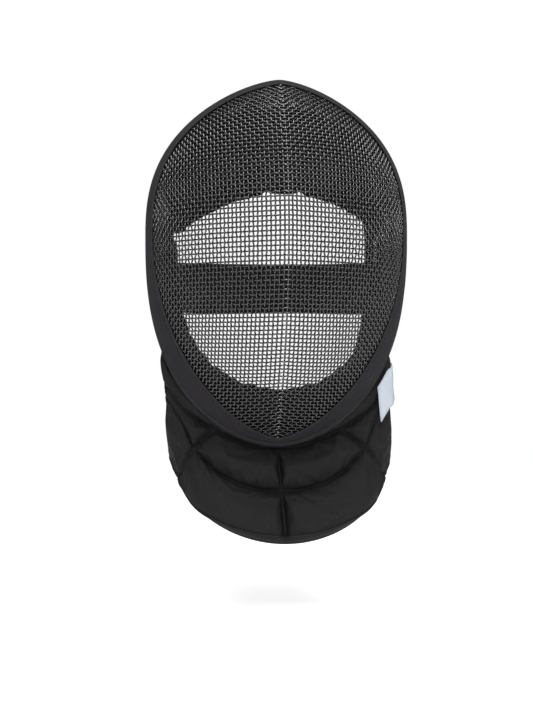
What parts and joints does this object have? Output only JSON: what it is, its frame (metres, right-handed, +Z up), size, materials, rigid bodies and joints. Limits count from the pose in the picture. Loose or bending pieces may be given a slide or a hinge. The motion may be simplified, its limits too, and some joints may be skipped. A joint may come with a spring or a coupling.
{
  "type": "fencing mask",
  "caption": "Fencing mask with a ridged wire mesh front, a mesh band over crown and sides, cloth bound rim, padded liner, elastic back strap and a quilted throat bib.",
  "frame": {"origin": "where the crown of the wearer's head meets the crown pad, on the mask's middle plane", "axes": "+Z up, the face looks along -Y, +X is the wearer's left"},
  "size_m": [0.2116, 0.241, 0.3682],
  "materials": {
    "black_wire": "black baked paint on woven steel wire, satin",
    "trim_cloth": "matt charcoal woven binding",
    "bib_cloth": "smooth black cloth over padding, quilted",
    "pad_cloth": "matt black liner cloth",
    "elastic": "ribbed black elastic",
    "label_cloth": "bare white satin label"
  },
  "bodies": {
    "root": {"front_mesh": "black_wire", "side_mesh": "black_wire", "rim_trim": "trim_cloth", "rear_trim": "trim_cloth", "bib": "bib_cloth", "bib_hem": "bib_cloth", "crown_pad": "pad_cloth", "jaw_pad": "pad_cloth", "back_strap": "elastic", "side_label": "label_cloth"}
  },
  "joints": []
}
